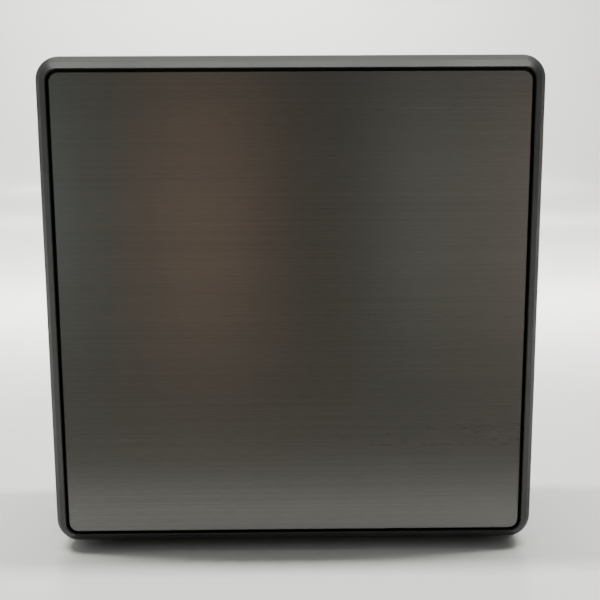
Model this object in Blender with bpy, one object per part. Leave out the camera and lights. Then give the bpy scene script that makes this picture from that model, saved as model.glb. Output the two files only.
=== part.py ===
"""A compact desktop computer in a square black case with a brushed metal lid plate.

The computer is laid out as it lies on its rubber feet: +Z is up towards the lid, +X is the
front panel with the power button, -X is the rear panel with the sockets, and the vented side
walls face +Y and -Y. One empty, the stance, then stands it on the two rubber strips of its -Y
side wall, so that the lid faces -Y of the world, the front panel +X and the feet +Y, with the
world's origin under the middle of the case. All sizes are in metres.
"""

import math

import bmesh
import bpy
from mathutils import Matrix, Vector

X, Y, Z = 0, 1, 2

# Case
SIDE = 0.128
HALF = SIDE / 2
HEIGHT = 0.046
CORNER_RADIUS = 0.0059
WALL = 0.002
INNER = HALF - WALL
INNER_RADIUS = 0.003
GAP = 0.0003

# How far a cutting tool passes the surface, and how far one shape reaches into the next
CUT = 0.002
JOINT = 0.0004

# Bezel round the lid: a sloping face, a narrow flat land, then the groove round the plate
BEZEL_SLOPE = 0.0030
BEZEL_DROP = 0.0036
BEZEL_CROWN = 0.29
BEZEL_ROUND = 0.00035
BEZEL_LAND = 0.0002
GROOVE = 0.0008
SEAT_HALF = HALF - BEZEL_SLOPE - BEZEL_LAND
SEAT_RADIUS = 0.0032
PLATE_HALF = SEAT_HALF - GROOVE
PLATE_RADIUS = 0.0025
PLATE_EDGE = 0.00018

# Levels up the case, from the surface that the feet stand on
BODY_BOTTOM = 0.0016
COVER_TOP = 0.0034
BOARD_BOTTOM = 0.0218
BOARD_TOP = 0.0234
ON_BOARD = BOARD_TOP + GAP
LEDGE_BOTTOM = 0.0416
LEDGE_TOP = 0.043
TRAY_BOTTOM = LEDGE_TOP + GAP
TRAY_TOP = 0.0447
PLATE_BOTTOM = TRAY_TOP + GAP

# Corner posts, which take the lid's pegs from above and the cover's screws from below
POST_X = 0.050
POST_Y = 0.054
PEG_X, PEG_Y = 0.0565, 0.0572
PEG_RADIUS = 0.0018
PEG_TIP = 0.0372
RIB_PITCH = 0.026
SCREW_CORE = 0.0011
GROMMET_INNER = 0.0021
GROMMET_OUTER = 0.0029
GROMMET_BOTTOM = 0.038

# Opening in the ledge under the lid
LEDGE_OPEN_X, LEDGE_OPEN_Y = 0.057, 0.0528

# Front and rear panels
WINDOW_HALF = 0.052
WINDOW_TOP = 0.0396
WINDOW_RADIUS = 0.002
FLANGE_HALF = 0.0532
FLANGE_BOTTOM, FLANGE_TOP = 0.004, 0.041
FLANGE_OUT = INNER - GAP
FLANGE_IN = FLANGE_OUT - 0.0012
SOCKET_FACE = HALF - 0.0004

# Vent slots
SLOT_WIDTH = 0.0022
SLOT_PITCH = 0.0042
SLOT_COUNT = 22
SLOT_LOW, SLOT_HIGH, REAR_SLOT_HIGH = 0.0055, 0.0190, 0.0185

# Bottom cover
FOOT_AT = 0.046
FOOT_RADIUS = 0.0065
FOOT_TOP = 0.0023
VESA_AT = 0.0375
VESA_HOLE = 0.0021
SINK_HOLE = 0.0016
GRILLE_SLOT = 0.0024
GRILLE_RINGS = ((0.0090, 0.0178, 12), (0.0202, 0.0310, 24))

# Rubber strips on the side wall that the case stands on
STRIP_PROUD = 0.0020
STRIP_SUNK = 0.0006
STRIP_X = (0.0478, 0.0558)
STRIP_Z = (0.0060, 0.0350)
STRIP_RADIUS = 0.0027

# Main board and what stands on it
BOARD_X, BOARD_Y = 0.060, 0.0535
BOARD_EAR_X, BOARD_EAR_Y = 0.0495, 0.057
LUG_X, LUG_Y = 0.038, 0.054
LUG_HALF, LUG_REACH, LUG_TOP = 0.004, 0.0509, 0.041
BOARD_SCREW_CORE = 0.001
PAN_HEAD = 0.0016

# Cooler under the board, on the case's centre line
FAN_HALF = 0.035
FAN_BORE = 0.0325
FAN_BOTTOM, FAN_TOP = 0.0039, 0.0109
ROTOR_RADIUS = 0.0316
HUB_RADIUS = 0.0115
ROTOR_LEVEL = 0.0068
BLADE_COUNT, BLADE_PITCH = 9, 24
ARM_ANGLE = 20
SINK_X, SINK_Y = 0.045, 0.047
SINK_BOTTOM, SINK_BASE, SINK_TOP = 0.0112, 0.0160, 0.0175
FIN_PITCH, FIN_THICK = 0.0036, 0.0010

# Places along the front panel
POWER_Y, LIGHT_Y, AUDIO_Y, USB_C_Y, RESET_Y = 0.042, 0.031, 0.020, 0.007, -0.041
FRONT_USB_Y = (-0.010, -0.027)
POWER_Z = 0.0304
POWER_RADIUS = 0.0052
BUTTON_FACE = HALF - 0.0002
LIGHT_RADIUS = 0.0008
RESET_Z, RESET_FACE, RESET_HOLE = 0.0265, 0.0574, 0.0007

# Places along the rear panel
DC_Y, DISPLAY_Y, HDMI_Y, ETHERNET_Y = 0.045, 0.030, 0.011, -0.008
REAR_USB_Y = (-0.026, -0.043)
LOCK_Y, LOCK_Z, LOCK_LONG, LOCK_HIGH = -0.035, 0.0350, 0.0070, 0.0030

# Sockets: width, height and depth
USB_A = (0.0131, 0.0063, 0.0140)
USB_C = (0.0090, 0.0034, 0.0075)
HDMI = (0.0150, 0.0062, 0.0115)
DISPLAY = (0.0170, 0.0062, 0.0115)
ETHERNET = (0.0160, 0.0134, 0.0160)
DC = (0.0092, 0.0110, 0.0125)
AUDIO = (0.0064, 0.0056, 0.0120)
DC_NOSE, AUDIO_NOSE = 0.0037, 0.0028
BORE_BACK = -0.0110
SHELL = 0.0004
BODY_BACK = SOCKET_FACE - FLANGE_IN + GAP

# Memory, storage and radio on the board
RAM_X, RAM_LONG, RAM_HALF_Y = -0.0365, 0.030, 0.0348
RAM_LEVELS = (0.0260, 0.0300)
RAM_THICK, CARD_THICK = 0.0012, 0.0008
CARD_X = (0.003, 0.025)
CARD_MID = (CARD_X[0] + CARD_X[1]) / 2
SSD_Y, SSD_LEVEL = (-0.041, 0.039), 0.0280
SSD_CHIPS = ((0.008, 0.013), (0.025, 0.018), (0.047, 0.018))
WIFI_Y, WIFI_LEVEL = (-0.009, 0.021), 0.0250
COIN_AT, COIN_RADIUS = (0.0365, -0.038), 0.010
DRIVE_X, DRIVE_Y = (-0.038, 0.032), 0.050
DRIVE_BOTTOM, DRIVE_TOP = 0.0341, 0.0411
BRACKET_X, BRACKET_Y = (-0.041, 0.035), 0.0495
BRACKET_BOTTOM, BRACKET_TOP = 0.0330, 0.0338
BRACKET_LEG = 0.016
RIBBON_X = (-0.024, -0.004)
RIBBON_THICK = 0.0006
ANTENNA_X = (0.006, 0.030)
CABLE_RADIUS = 0.00055


# ---------------------------------------------------------------- shapes

def box(low, high):
    """A block between two opposite corners."""
    bm = bmesh.new()
    low, high = Vector(low), Vector(high)
    size = high - low
    move = Matrix.Translation((low + high) / 2) @ Matrix.Diagonal((*size, 1))
    bmesh.ops.create_cube(bm, size=1, matrix=move)
    return bm


def bevel(bm, edges, width, segments=1, profile=0.5):
    bmesh.ops.bevel(bm, geom=edges, offset=width, segments=segments, profile=profile,
                    affect="EDGES", clamp_overlap=True)
    return bm


def edges_along(bm, axis):
    """The edges parallel to one axis."""
    others = [k for k in (X, Y, Z) if k != axis]
    return [e for e in bm.edges
            if all(abs(e.verts[0].co[k] - e.verts[1].co[k]) < 1e-7 for k in others)]


def edges_at(bm, axis, level):
    """The edges that lie in the plane where one coordinate has this value."""
    return [e for e in bm.edges if all(abs(v.co[axis] - level) < 1e-7 for v in e.verts)]


def rounded_box(low, high, radius, axis=Z, segments=4):
    """A block whose four edges along one axis are rounded."""
    bm = box(low, high)
    return bevel(bm, edges_along(bm, axis), radius, segments)


def rod(centre, radius, length, axis=Z, segments=24, end_radius=None):
    """A cylinder, or a cone with an end_radius, from centre towards + of one axis."""
    bm = bmesh.new()
    turn = {X: Matrix.Rotation(math.radians(90), 4, "Y"),
            Y: Matrix.Rotation(math.radians(-90), 4, "X"),
            Z: Matrix.Identity(4)}[axis]
    move = Matrix.Translation(centre) @ turn @ Matrix.Translation((0, 0, length / 2))
    bmesh.ops.create_cone(bm, cap_ends=True, segments=segments, radius1=radius,
                          radius2=radius if end_radius is None else end_radius,
                          depth=length, matrix=move)
    return bm


def together(*shapes):
    """Several shapes that stay clear of each other, as one tool."""
    bm = bmesh.new()
    for shape in shapes:
        mesh = bpy.data.meshes.new("shape")
        shape.to_mesh(mesh)
        shape.free()
        bm.from_mesh(mesh)
        bpy.data.meshes.remove(mesh)
    return bm


def turned(bm, angle, axis="Z"):
    """The shape turned about an axis through the origin."""
    bm.transform(Matrix.Rotation(angle, 4, axis))
    return bm


def four(make):
    """The same shape at the four mirrored places (+-x, +-y)."""
    return together(*(make(sx, sy) for sx in (1, -1) for sy in (1, -1)))


def span(side, near, far):
    """Two distances from the middle as a rising pair of coordinates, on the + or the - side."""
    return tuple(sorted((side * near, side * far)))


# ---------------------------------------------------------------- objects

def temporary(bm, name="tool"):
    mesh = bpy.data.meshes.new(name)
    bm.to_mesh(mesh)
    bm.free()
    made = bpy.data.objects.new(name, mesh)
    bpy.context.scene.collection.objects.link(made)
    return made


def forget(*things):
    for thing in things:
        mesh = thing.data
        bpy.data.objects.remove(thing)
        bpy.data.meshes.remove(mesh)


def solid(base, join=(), cut=(), insert=(), drill=()):
    """One mesh: the base, with the shapes in join fused to it, then those in cut taken away;
    then what stands in the hollows is inserted, and the last holes are drilled."""
    target = temporary(base, "base")
    tools = []
    steps = ("UNION", join), ("DIFFERENCE", cut), ("UNION", insert), ("DIFFERENCE", drill)
    for operation, shapes in steps:
        for shape in shapes:
            tool = temporary(shape)
            step = target.modifiers.new("step", "BOOLEAN")
            step.operation = operation
            step.object = tool
            tools.append(tool)
    bpy.context.view_layer.update()
    graph = bpy.context.evaluated_depsgraph_get()
    mesh = bpy.data.meshes.new_from_object(target.evaluated_get(graph))
    forget(target, *tools)
    mesh.shade_smooth()
    mesh.set_sharp_from_angle(angle=math.radians(35))
    return mesh


def material(name, colour, roughness, metallic=0.0):
    made = bpy.data.materials.new(name)
    made.use_nodes = True
    shader = made.node_tree.nodes["Principled BSDF"]
    shader.inputs["Base Color"].default_value = (*colour, 1)
    shader.inputs["Roughness"].default_value = roughness
    shader.inputs["Metallic"].default_value = metallic
    return made


def add(stance, name, mesh, finish, at=(0, 0, 0), turn=0.0):
    """One named part of the computer, placed in the stance's frame, turned about Z."""
    part = bpy.data.objects.new(name, mesh)
    part.location = at
    part.rotation_euler = (0, 0, turn)
    part.parent = stance
    if not mesh.materials:
        mesh.materials.append(finish)
    bpy.data.collections["Mini PC"].objects.link(part)
    return part


def start():
    """An empty scene, the collection for the parts, and the empty that stands the computer up."""
    for old in list(bpy.data.objects):
        bpy.data.objects.remove(old)
    parts = bpy.data.collections.new("Mini PC")
    bpy.context.scene.collection.children.link(parts)
    stance = bpy.data.objects.new("stance", None)
    stance.location = (0, HEIGHT / 2, HALF + STRIP_PROUD)
    stance.rotation_euler = (math.radians(90), 0, 0)
    parts.objects.link(stance)
    return stance


# ---------------------------------------------------------------- case

def slot_places():
    """The middles of the vent slots along a wall."""
    first = -SLOT_PITCH * (SLOT_COUNT - 1) / 2
    return [first + SLOT_PITCH * i for i in range(SLOT_COUNT)]


def case_outside():
    """The case's outside, with a bezel that slopes more steeply than 45 degrees and is a little
    crowned, so that its gloss fades towards the groove."""
    bm = rounded_box((-HALF, -HALF, BODY_BOTTOM), (HALF, HALF, HEIGHT), CORNER_RADIUS,
                     segments=8)
    bevel(bm, edges_at(bm, Z, HEIGHT), BEZEL_SLOPE, 2, BEZEL_CROWN)
    for corner in bm.verts:
        depth = HEIGHT - corner.co.z
        if depth < BEZEL_SLOPE + 1e-6:
            corner.co.z = HEIGHT - depth * BEZEL_DROP / BEZEL_SLOPE
    bevel(bm, edges_at(bm, Z, HEIGHT - BEZEL_DROP), BEZEL_ROUND)
    return bevel(bm, edges_at(bm, Z, BODY_BOTTOM), 0.0006)


def panel_window(side):
    """The opening in the front or the rear wall that a panel fills."""
    low, high = span(side, INNER - CUT, HALF + CUT)
    return rounded_box((low, -WINDOW_HALF, -CUT), (high, WINDOW_HALF, WINDOW_TOP), WINDOW_RADIUS, X)


def side_slot(x, side):
    """One vent slot through a side wall."""
    low, high = span(side, INNER - CUT / 2, HALF + CUT)
    return box((x - SLOT_WIDTH / 2, low, SLOT_LOW), (x + SLOT_WIDTH / 2, high, SLOT_HIGH))


def strip_pocket(side):
    """The shallow hollow that holds a rubber strip."""
    low, high = span(side, *STRIP_X)
    return rounded_box((low, -HALF - CUT, STRIP_Z[0]), (high, -HALF + STRIP_SUNK, STRIP_Z[1]),
                       STRIP_RADIUS, Y, 3)


def board_lug(sx, sy):
    """A lug on a side wall that the board is screwed to from below."""
    low, high = span(sy, LUG_REACH, INNER + JOINT)
    return box((sx * LUG_X - LUG_HALF, low, ON_BOARD), (sx * LUG_X + LUG_HALF, high, LUG_TOP))


def housing():
    """The outer shell: four walls, the sloping bezel, the ledge that the lid lies on, the corner
    posts and the board's lugs."""
    seat_low, seat_high = (-SEAT_HALF, -SEAT_HALF, LEDGE_TOP), (SEAT_HALF, SEAT_HALF, HEIGHT + CUT)
    open_low = (-LEDGE_OPEN_X, -LEDGE_OPEN_Y, LEDGE_BOTTOM - CUT)
    open_high = (LEDGE_OPEN_X, LEDGE_OPEN_Y, LEDGE_TOP + CUT)
    return solid(
        case_outside(),
        cut=[
            rounded_box((-INNER, -INNER, 0), (INNER, INNER, COVER_TOP + GAP), INNER_RADIUS),
            rounded_box((-INNER, -POST_Y, COVER_TOP), (INNER, POST_Y, LEDGE_BOTTOM), 0.001,
                        segments=2),
            rounded_box((-POST_X, -INNER, COVER_TOP), (POST_X, INNER, LEDGE_BOTTOM), 0.001,
                        segments=2),
            rounded_box(open_low, open_high, 0.001, segments=2),
            rounded_box(seat_low, seat_high, SEAT_RADIUS, segments=8),
            together(*(panel_window(side) for side in (1, -1))),
            together(*(side_slot(x, side) for x in slot_places() for side in (1, -1))),
            four(lambda sx, sy: rod((sx * PEG_X, sy * PEG_Y, COVER_TOP - CUT), SCREW_CORE, 0.012,
                                    segments=12)),
            four(lambda sx, sy: rod((sx * PEG_X, sy * PEG_Y, GROMMET_BOTTOM - 0.0015),
                                    GROMMET_OUTER + 0.0002, 0.008, segments=16)),
            together(*(strip_pocket(side) for side in (1, -1))),
        ],
        insert=[four(board_lug)],
        drill=[four(lambda sx, sy: rod((sx * LUG_X, sy * LUG_Y, BOARD_BOTTOM), BOARD_SCREW_CORE,
                                       0.009, segments=12))],
    )


def bottom_cover():
    """The plate that closes the case from below, with the fan's grille, hollows for the feet,
    sunk screw holes and the four holes of a 75 mm monitor mount."""
    edge = INNER - GAP
    through = COVER_TOP + CUT
    half = GRILLE_SLOT / 2
    slots = []
    for inner, outer, count in GRILLE_RINGS:
        for i in range(count):
            slot = rounded_box((inner, -half, 0), (outer, half, through), 0.0007, segments=1)
            slots.append(turned(slot, 2 * math.pi * i / count))
    return solid(
        rounded_box((-edge, -edge, BODY_BOTTOM), (edge, edge, COVER_TOP), INNER_RADIUS - GAP),
        cut=[
            together(*slots),
            four(lambda sx, sy: rod((sx * FOOT_AT, sy * FOOT_AT, 0), FOOT_RADIUS + GAP,
                                    FOOT_TOP + GAP)),
            four(lambda sx, sy: rod((sx * VESA_AT, sy * VESA_AT, 0), VESA_HOLE, through,
                                    segments=16)),
            four(lambda sx, sy: rod((sx * PEG_X, sy * PEG_Y, 0), SINK_HOLE, through, segments=16)),
            four(lambda sx, sy: rod((sx * PEG_X, sy * PEG_Y, BODY_BOTTOM - 0.0001), 0.0033, 0.0017,
                                    segments=16, end_radius=SINK_HOLE)),
        ],
    )


def side_strip():
    """A rubber strip for the standing side, at x = 0, seen from the wall that it is set into."""
    wide = STRIP_X[1] - STRIP_X[0]
    bm = rounded_box((-wide / 2 + GAP, -HALF - STRIP_PROUD, STRIP_Z[0] + GAP),
                     (wide / 2 - GAP, -HALF + STRIP_SUNK - GAP, STRIP_Z[1] - GAP),
                     STRIP_RADIUS - GAP, Y, 3)
    return solid(bevel(bm, edges_at(bm, Y, -HALF - STRIP_PROUD), 0.0004))


def rubber_foot():
    bm = rod((0, 0, 0), FOOT_RADIUS, FOOT_TOP)
    return solid(bevel(bm, edges_at(bm, Z, 0), 0.0005, 2))


def cross_recess():
    """The cross in a screw's head, opening downwards at z = 0."""
    long, half, deep = 0.0013, 0.0003, 0.0006
    return [box((-long, -half, -CUT), (long, half, deep)), box((-half, -long, -CUT), (half, long, deep))]


def cover_screw():
    """A countersunk screw, head down."""
    head, core = 0.0026, 0.0009
    return solid(
        rod((0, 0, 0), head, 0.0013, segments=16, end_radius=core + 0.0002),
        join=[rod((0, 0, 0.0008), core, 0.0095, segments=8)],
        cut=cross_recess(),
    )


def board_screw():
    """A pan head screw, head down."""
    head = rod((0, 0, 0), 0.0023, PAN_HEAD, segments=16)
    bevel(head, edges_at(head, Z, 0), 0.0005)
    return solid(head, join=[rod((0, 0, 0.001), 0.0008, 0.0080, segments=8)], cut=cross_recess())


# ---------------------------------------------------------------- lid

def lid_plate():
    bm = rounded_box((-PLATE_HALF, -PLATE_HALF, PLATE_BOTTOM), (PLATE_HALF, PLATE_HALF, HEIGHT),
                     PLATE_RADIUS, segments=8)
    return solid(bevel(bm, edges_at(bm, Z, HEIGHT), PLATE_EDGE))


def lid_tray():
    """The plastic tray glued under the plate, with a rib that drops into the ledge's opening,
    stiffening ribs and the four pegs that the grommets grip."""
    edge = PLATE_HALF - 0.0002
    rib_x, rib_y, rib = LEDGE_OPEN_X - 0.0006, LEDGE_OPEN_Y - 0.0006, 0.0012
    low, high = LEDGE_BOTTOM + 0.0002, TRAY_BOTTOM + JOINT
    ribs = []
    for side in (1, -1):
        y0, y1 = span(side, rib_y - rib, rib_y)
        x0, x1 = span(side, rib_x - rib, rib_x)
        ribs += [box((-rib_x, y0, low), (rib_x, y1, high)), box((x0, -rib_y, low), (x1, rib_y, high))]
    for y in (-RIB_PITCH, 0.0, RIB_PITCH):
        ribs.append(box((-rib_x + rib / 2, y - rib / 2, low + 0.0006),
                        (rib_x - rib / 2, y + rib / 2, high)))
    pegs = four(lambda sx, sy: rod((sx * PEG_X, sy * PEG_Y, PEG_TIP), PEG_RADIUS * 0.7, 0.0012,
                                   segments=16, end_radius=PEG_RADIUS))
    stems = four(lambda sx, sy: rod((sx * PEG_X, sy * PEG_Y, PEG_TIP + 0.0011), PEG_RADIUS,
                                    TRAY_BOTTOM + JOINT - PEG_TIP - 0.0011, segments=16))
    return solid(
        rounded_box((-edge, -edge, TRAY_BOTTOM), (edge, edge, TRAY_TOP), PLATE_RADIUS - 0.0002),
        join=[*ribs, stems, pegs],
    )


def lid_grommet():
    return solid(
        rod((0, 0, 0), GROMMET_OUTER, LEDGE_TOP - GROMMET_BOTTOM - 0.0001, segments=16),
        cut=[rod((0, 0, -CUT), GROMMET_INNER, 0.010, segments=16)],
    )


# ---------------------------------------------------------------- panels

def panel_blank(side):
    """A panel's outer face, and the neck and the wider flange that hold it inside the wall."""
    (face_low, face_high) = span(side, INNER, HALF)
    (neck_low, neck_high) = span(side, FLANGE_OUT - JOINT, INNER + JOINT)
    (flange_low, flange_high) = span(side, FLANGE_IN, FLANGE_OUT)
    wide, top = WINDOW_HALF - GAP, WINDOW_TOP - GAP
    face = rounded_box((face_low, -wide, BODY_BOTTOM), (face_high, wide, top), WINDOW_RADIUS - GAP, X)
    neck = box((neck_low, JOINT - wide, FLANGE_BOTTOM), (neck_high, wide - JOINT, top - 0.0006))
    flange = box((flange_low, -FLANGE_HALF, FLANGE_BOTTOM), (flange_high, FLANGE_HALF, FLANGE_TOP))
    return face, [neck, flange]


def socket_cut(side, y, size, radius=0.0006):
    """A cut through a panel for a socket that stands on the board."""
    width, height, _ = size
    low, high = span(side, FLANGE_IN - CUT, HALF + CUT)
    return rounded_box((low, y - width / 2 - GAP, ON_BOARD - GAP),
                       (high, y + width / 2 + GAP, ON_BOARD + height + GAP), radius, X, 2)


def round_cut(side, y, z, radius, segments):
    """A round hole through a panel."""
    low, high = span(side, FLANGE_IN - CUT, HALF + CUT)
    return rod((low, y, z), radius, high - low, X, segments)


def front_panel():
    face, flange = panel_blank(1)
    return solid(face, join=flange, cut=[together(
        *(socket_cut(1, y, USB_A) for y in FRONT_USB_Y),
        socket_cut(1, USB_C_Y, USB_C),
        round_cut(1, AUDIO_Y, ON_BOARD + AUDIO[1] / 2, AUDIO_NOSE + GAP, 20),
        round_cut(1, POWER_Y, POWER_Z, POWER_RADIUS + GAP, 32),
        round_cut(1, LIGHT_Y, POWER_Z, LIGHT_RADIUS + GAP, 12),
        round_cut(1, RESET_Y, RESET_Z, RESET_HOLE, 10),
    )])


def rear_panel():
    """The panel round the rear sockets, with its vent slots and the slot for a cable lock."""
    face, flange = panel_blank(-1)
    low, high = span(-1, FLANGE_IN - CUT, HALF + CUT)
    vents = [box((low, y - SLOT_WIDTH / 2, SLOT_LOW), (high, y + SLOT_WIDTH / 2, REAR_SLOT_HIGH))
             for y in slot_places()]
    lock = rounded_box((low, LOCK_Y - LOCK_LONG / 2, LOCK_Z - LOCK_HIGH / 2),
                       (high, LOCK_Y + LOCK_LONG / 2, LOCK_Z + LOCK_HIGH / 2), 0.0008, X, 2)
    sockets = [socket_cut(-1, y, USB_A) for y in REAR_USB_Y]
    sockets += [socket_cut(-1, HDMI_Y, HDMI), socket_cut(-1, DISPLAY_Y, DISPLAY)]
    sockets += [socket_cut(-1, ETHERNET_Y, ETHERNET)]
    sockets += [round_cut(-1, DC_Y, ON_BOARD + DC[1] / 2, DC_NOSE + GAP, 24)]
    return solid(face, join=flange, cut=[together(*vents), together(lock, *sockets)])


# ---------------------------------------------------------------- sockets, mouth at x = 0 facing +X

def shell_socket(size, radius, tongue_half, tongue_low, tongue_high, set_back):
    """A metal shell that stands on z = 0, hollowed from its mouth, with the tongue inside."""
    width, height, depth = size
    side, back = width / 2, -depth + 2 * SHELL
    inner_radius = max(radius - SHELL, 0.0003)
    return solid(
        rounded_box((-depth, -side, 0), (0, side, height), radius, X, 3),
        cut=[rounded_box((back, SHELL - side, SHELL), (CUT, side - SHELL, height - SHELL),
                         inner_radius, X, 3)],
        insert=[box((back - JOINT, -tongue_half, tongue_low), (-set_back, tongue_half, tongue_high))],
    )


def usb_a_socket():
    return shell_socket(USB_A, 0.0005, 0.0055, 0.0036, 0.0054, 0.0022)


def usb_c_socket():
    return shell_socket(USB_C, 0.0015, 0.0033, 0.0014, 0.0020, 0.0010)


def hdmi_socket():
    return shell_socket(HDMI, 0.0008, 0.0056, 0.0026, 0.0036, 0.0012)


def display_socket():
    return shell_socket(DISPLAY, 0.0008, 0.0062, 0.0030, 0.0040, 0.0012)


def ethernet_socket():
    """A network socket: its cavity and the two steps of the notch for the plug's catch."""
    width, height, depth = ETHERNET
    return solid(
        box((-depth, -width / 2, 0), (0, width / 2, height)),
        cut=[box((-0.0130, -0.0059, 0.0030), (CUT, 0.0059, 0.0112)),
             box((-0.0110, -0.0032, 0.0014), (CUT, 0.0032, 0.0032)),
             box((-0.0040, -0.0020, 0.0006), (CUT, 0.0020, 0.0016))],
    )


def nose_socket(size, nose, bore, segments, pin=()):
    """A block with a round nose that fills the panel's hole, bored from the front."""
    width, height, depth = size
    mid = height / 2
    root = -BODY_BACK - 2 * GAP
    return solid(
        box((-depth, -width / 2, 0), (-BODY_BACK, width / 2, height)),
        join=[rod((root, 0, mid), nose, -root, X, segments)],
        cut=[rod((BORE_BACK, 0, mid), bore, CUT - BORE_BACK, X, segments - 4)],
        insert=pin,
    )


def dc_socket():
    """The power inlet, with the pin in its middle."""
    pin = rod((BORE_BACK - JOINT, 0, DC[1] / 2), 0.0010, 0.0100, X, 12)
    return nose_socket(DC, DC_NOSE, 0.0029, 24, [pin])


def audio_socket():
    return nose_socket(AUDIO, AUDIO_NOSE, 0.0018, 20)


# ---------------------------------------------------------------- buttons and light

def power_button():
    """A round button whose origin is the middle of its face, with a collar behind the panel
    and a stem that reaches to the switch."""
    face = rod((-0.0040, 0, 0), POWER_RADIUS, 0.0040, X, 32)
    bevel(face, edges_at(face, X, 0), 0.0003, 2)
    return solid(face, join=[rod((-0.0048, 0, 0), 0.0062, 0.0012, X, 24),
                             rod((-0.0072, 0, 0), 0.0015, 0.0028, X, 12)])


def power_switch():
    return solid(rounded_box((-0.0145, -0.0035, ON_BOARD - POWER_Z), (-0.0082, 0.0035, 0.0032),
                             0.0004, Z, 1))


def light_pipe():
    """A clear rod from the panel's face to the lamp on the board."""
    return solid(rod((-0.0100, 0, 0), LIGHT_RADIUS, 0.0100, X, 12),
                 join=[box((-0.0118, -0.0010, ON_BOARD - POWER_Z + 0.0004), (-0.0092, 0.0010, 0.0010))])


def reset_button():
    """A plunger behind the panel, its origin in the middle of its face."""
    return solid(rod((0, 0, 0), 0.0010, 0.0024, X, 12))


def reset_switch():
    return solid(box((-0.0068, -0.0028, ON_BOARD - RESET_Z), (-0.0007, 0.0028, 0.0024)))


# ---------------------------------------------------------------- board, cards and drive

def motherboard():
    ears = box((-BOARD_EAR_X, -BOARD_EAR_Y, BOARD_BOTTOM), (BOARD_EAR_X, BOARD_EAR_Y, BOARD_TOP))
    return solid(
        box((-BOARD_X, -BOARD_Y, BOARD_BOTTOM), (BOARD_X, BOARD_Y, BOARD_TOP)),
        join=[ears],
        cut=[four(lambda sx, sy: rod((sx * LUG_X, sy * LUG_Y, BOARD_BOTTOM - CUT), 0.0013, 0.006,
                                     segments=12))],
    )


def ram_socket():
    """A socket for two memory modules, one above the other, with the side arms that hold them."""
    bar_y, arm_y, bar_top, arm_top = 0.0365, 0.0354, 0.0324, 0.0318
    slot_y, slot_high = RAM_HALF_Y + JOINT, RAM_THICK + GAP
    slots = [box((RAM_X - 0.0005, -slot_y, z - GAP), (-0.030, slot_y, z + slot_high))
             for z in RAM_LEVELS]
    arms = []
    for side in (1, -1):
        low, high = span(side, arm_y, bar_y)
        arms.append(box((-0.035, low, ON_BOARD), (-0.0085, high, arm_top)))
    return solid(box((-0.040, -bar_y, ON_BOARD), (-0.034, bar_y, bar_top)), join=arms,
                 cut=[together(*slots)])


def ram_module():
    """A memory module with its edge at x = 0, and four chips on top."""
    low, high, half = 0.0085, 0.0205, 0.0050
    chips = [box((low, y - half, RAM_THICK - 0.0002), (high, y + half, RAM_THICK + 0.0009))
             for y in (-0.0255, -0.0095, 0.0095, 0.0255)]
    return solid(box((0, -RAM_HALF_Y, 0), (RAM_LONG, RAM_HALF_Y, RAM_THICK)),
                 join=[together(*chips)])


def card_socket(y, top, card_level):
    """The socket at a card's -Y end, which the card's edge goes into."""
    low, high = CARD_X
    slot_top = card_level + CARD_THICK + GAP
    return solid(
        box((low - 0.0005, y - 0.0040, ON_BOARD), (high + 0.0005, y + 0.0015, top)),
        cut=[box((low - 0.0002, y - GAP, card_level - GAP), (high + 0.0002, y + 0.003, slot_top))],
    )


def ssd_card():
    """The storage card, with its controller, two memory chips and the notch for its screw."""
    low, high = SSD_Y
    top = SSD_LEVEL + CARD_THICK
    chips = [box((CARD_X[0] + 0.0025, low + y, top - 0.0002),
                 (CARD_X[1] - 0.0025, low + y + long, top + 0.0012)) for y, long in SSD_CHIPS]
    return solid(box((CARD_X[0], low, SSD_LEVEL), (CARD_X[1], high, top)),
                 join=[together(*chips)],
                 cut=[rod((CARD_MID, high, SSD_LEVEL - 0.001), 0.0017, 0.003, segments=16)])


def wifi_card():
    """The radio card, with its shield and the notch for its screw."""
    low, high = WIFI_Y
    top = WIFI_LEVEL + CARD_THICK
    shield = box((CARD_X[0] + 0.0015, low + 0.005, top - 0.0002),
                 (CARD_X[1] - 0.0015, high - 0.006, top + 0.0013))
    return solid(box((CARD_X[0], low, WIFI_LEVEL), (CARD_X[1], high, top)),
                 join=[shield],
                 cut=[rod((CARD_MID, high, WIFI_LEVEL - 0.001), 0.0015, 0.003, segments=16)])


def coin_cell():
    bm = rod((0, 0, 0), COIN_RADIUS, 0.0032, segments=32)
    return solid(bevel(bm, edges_at(bm, Z, 0.0032), 0.0005))


def drive_bracket():
    """A bent sheet that carries the drive over the memory, on four legs."""
    left, right = BRACKET_X
    sheet = BRACKET_TOP - BRACKET_BOTTOM
    legs = []
    for side in (1, -1):
        low, high = span(side, BRACKET_Y - sheet, BRACKET_Y)
        for x in (left, right - BRACKET_LEG):
            legs.append(box((x, low, ON_BOARD), (x + BRACKET_LEG, high, BRACKET_BOTTOM + JOINT)))
    return solid(box((left, -BRACKET_Y, BRACKET_BOTTOM), (right, BRACKET_Y, BRACKET_TOP)), join=legs)


def sata_drive():
    """A 2.5 inch drive, with the recess for its label and the notch for its connector."""
    left, right = DRIVE_X
    notch = box((RIBBON_X[0] - 0.001, -DRIVE_Y - CUT, 0.0350),
                (RIBBON_X[1] + 0.001, 0.004 - DRIVE_Y, 0.0400))
    recess = box((left + 0.006, 0.012 - DRIVE_Y, DRIVE_TOP - 0.0002),
                 (right - 0.006, DRIVE_Y - 0.008, DRIVE_TOP + CUT))
    return solid(
        rounded_box((left, -DRIVE_Y, DRIVE_BOTTOM), (right, DRIVE_Y, DRIVE_TOP), 0.0015, Z, 3),
        cut=[notch, recess],
    )


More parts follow.
